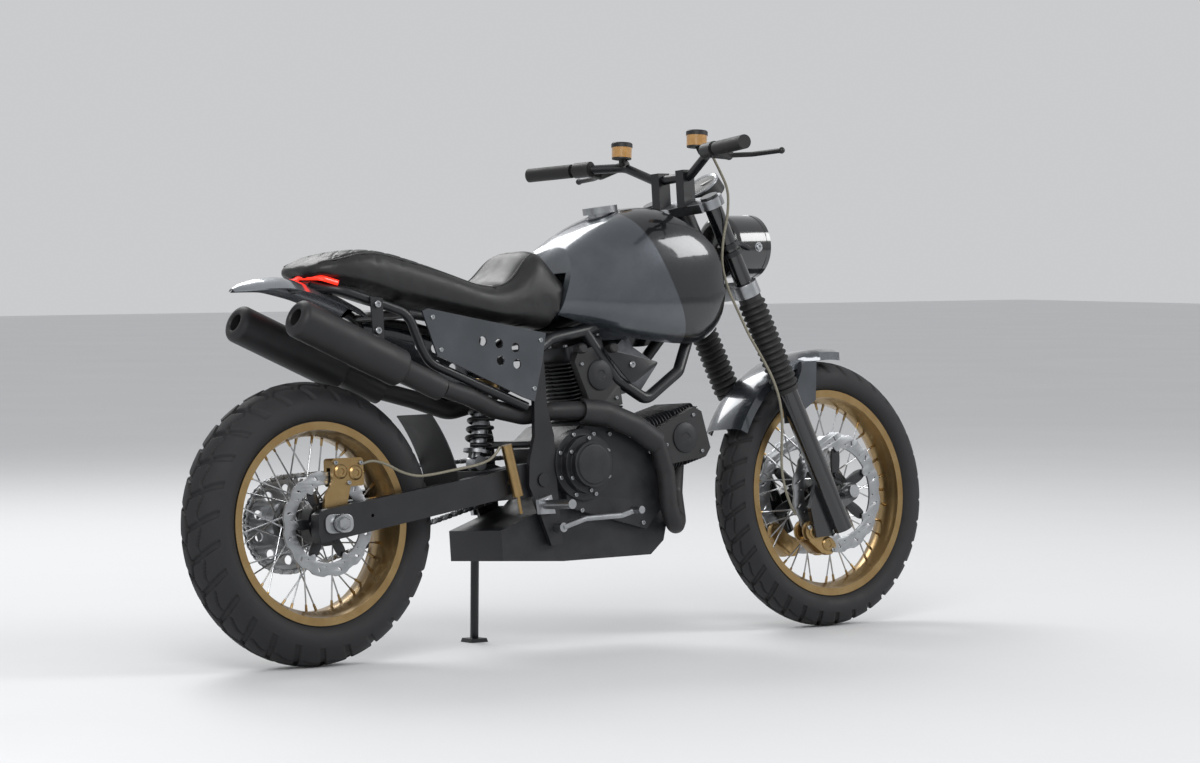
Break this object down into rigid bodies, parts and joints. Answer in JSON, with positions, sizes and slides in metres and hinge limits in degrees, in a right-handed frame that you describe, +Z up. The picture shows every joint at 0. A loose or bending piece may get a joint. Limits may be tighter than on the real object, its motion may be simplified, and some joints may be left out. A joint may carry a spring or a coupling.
{
  "type": "scrambler motorcycle",
  "caption": "Scrambler motorcycle with spoked wheels, twin mufflers, steering that turns and a folding side stand.",
  "frame": {"origin": "on the ground, at the middle of the bounding box", "axes": "+X forward, +Y to the left, +Z up"},
  "size_m": [2.1752, 0.7974, 1.2251],
  "materials": {
    "black_paint": "satin",
    "grey_paint": "gloss",
    "black_plastic": "matte",
    "steel": "brushed",
    "chrome": "polished",
    "gold": "anodised",
    "alloy": "satin",
    "engine": "satin",
    "tyre": "matte",
    "rubber": "matte",
    "leather": "grained",
    "glass": "clear",
    "lamp": "gloss"
  },
  "bodies": {
    "chassis": {"main_frame": "black_paint", "steering_bearings": "steel", "subframe": "black_paint", "swingarm": "black_paint", "rear_axle": "steel", "rear_suspension": "black_paint", "rear_brake": "gold", "rear_brake_hose": "rubber", "inner_fender": "black_plastic", "stand_bracket": "black_paint", "seat": "leather", "fuel_tank": "grey_paint", "fuel_cap": "alloy", "side_panels": "grey_paint", "rear_fender": "grey_paint", "tail_light": "lamp", "crankcase": "engine", "engine_covers": "engine", "cylinders": "engine", "belt_covers": "black_plastic", "intake": "black_plastic", "exhaust_headers": "black_paint", "mufflers": "black_paint", "muffler_hangers": "black_paint", "heat_shield": "black_paint", "foot_controls": "steel", "chain": "steel"},
    "rear_wheel": {"rear_tyre": "tyre", "rear_rim": "gold", "rear_hub": "black_paint", "rear_disc": "steel", "rear_sprocket": "steel"},
    "side_stand": {"side_stand": "black_paint"},
    "steering": {"triple_clamps": "alloy", "fork_tubes": "chrome", "fork_gaiters": "rubber", "fork_lowers": "black_paint", "front_axle": "steel", "front_calipers": "gold", "handlebar": "black_paint", "handlebar_risers": "black_paint", "grips": "rubber", "hand_controls": "black_plastic", "headlight": "black_paint", "headlight_lens": "glass", "gauge": "alloy", "front_fender": "black_plastic", "front_brake_hose": "rubber"},
    "front_wheel": {"front_tyre": "tyre", "front_rim": "gold", "front_hub": "black_paint", "front_discs": "steel"}
  },
  "joints": [
    {"name": "rear_wheel_spin", "type": "hinge", "parent": "chassis", "child": "rear_wheel", "pos_m": [-0.76576, -0.05306, 0.32144], "axis": [0, 0.9977, -0.0678], "continuous": true},
    {"name": "steering_turn", "type": "hinge", "parent": "chassis", "child": "steering", "pos_m": [0.44536, -0.0188, 0.82528], "axis": [-0.4226, 0.0615, 0.9042], "range_deg": [-38.3, 31.7]},
    {"name": "front_wheel_spin", "type": "hinge", "parent": "steering", "child": "front_wheel", "pos_m": [0.75912, -0.04832, 0.32808], "axis": [-0.0525, 0.9944, -0.0921], "continuous": true},
    {"name": "side_stand_fold", "type": "hinge", "parent": "chassis", "child": "side_stand", "pos_m": [-0.20576, 0.07855, 0.25235], "axis": [0, 0.9977, -0.0678], "range_deg": [0, 92]}
  ]
}
